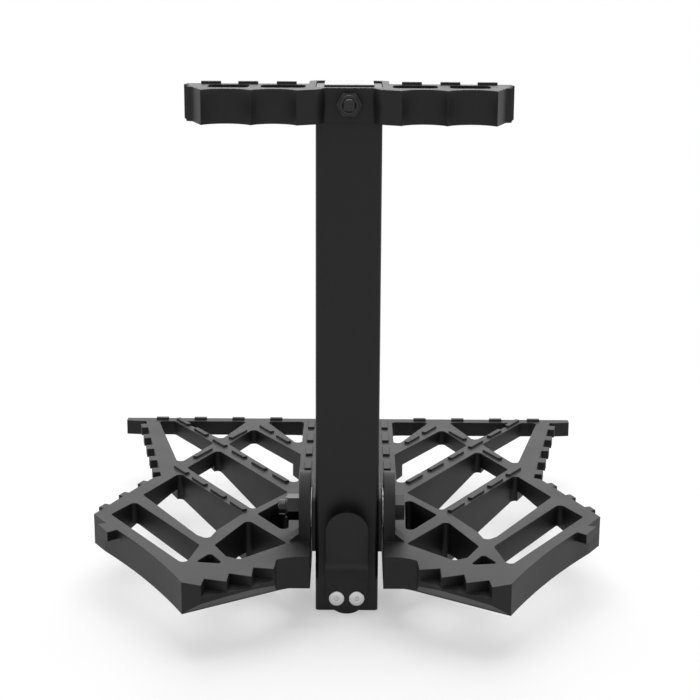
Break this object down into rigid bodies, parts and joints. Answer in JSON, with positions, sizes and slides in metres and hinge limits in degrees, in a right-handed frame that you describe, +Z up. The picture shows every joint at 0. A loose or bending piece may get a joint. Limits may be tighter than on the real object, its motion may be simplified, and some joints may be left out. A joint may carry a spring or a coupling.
{
  "type": "folding hitch step",
  "caption": "Square post with a small cast top step and two larger grated cast wings that fold up about a cross bolt, on a square receiver shank.",
  "frame": {"origin": "centre of the receiver pin hole in the shank", "axes": "+X along the pin hole, +Y along the shank into the receiver, +Z up"},
  "size_m": [0.443, 0.4314, 0.4282],
  "materials": {
    "post_coat": "satin black powder coat on steel tube",
    "cast_coat": "fine textured black powder coat on an aluminium casting",
    "leaf_coat": "satin black powder coat on spring steel",
    "black_steel": "black oxide",
    "bare_steel": "zinc plated",
    "rivet_aluminium": "mill finish",
    "cap_plastic": "smooth black"
  },
  "bodies": {
    "root": {"post_tube": "post_coat", "post_cap": "cap_plastic", "top_step": "cast_coat", "top_bolt": "black_steel", "top_nut": "black_steel", "top_washer": "black_steel", "top_spacer": "bare_steel", "receiver_shank": "post_coat", "shank_plug": "cap_plastic", "shank_weld": "post_coat", "left_side_plate": "post_coat", "right_side_plate": "post_coat", "stop_pin": "bare_steel", "latch_leaf": "leaf_coat", "latch_rivets": "rivet_aluminium"},
    "steps": {"left_step": "cast_coat", "right_step": "cast_coat", "pivot_bolt": "black_steel", "pivot_nut": "black_steel", "pivot_sleeve": "bare_steel", "left_thrust_washer": "bare_steel", "right_thrust_washer": "bare_steel"},
    "latch": {"latch_plunger": "bare_steel"}
  },
  "joints": [
    {"name": "steps_fold", "type": "hinge", "parent": "root", "child": "steps", "pos_m": [0, -0.1919, -0.12], "axis": [1, 0, 0], "range_deg": [0, 90]},
    {"name": "latch_pull", "type": "slide", "parent": "root", "child": "latch", "axis": [0, -1, 0], "range_m": [0, 0.008], "stiffness_N_per_m": 2000, "deforming": ["latch_leaf"]}
  ]
}
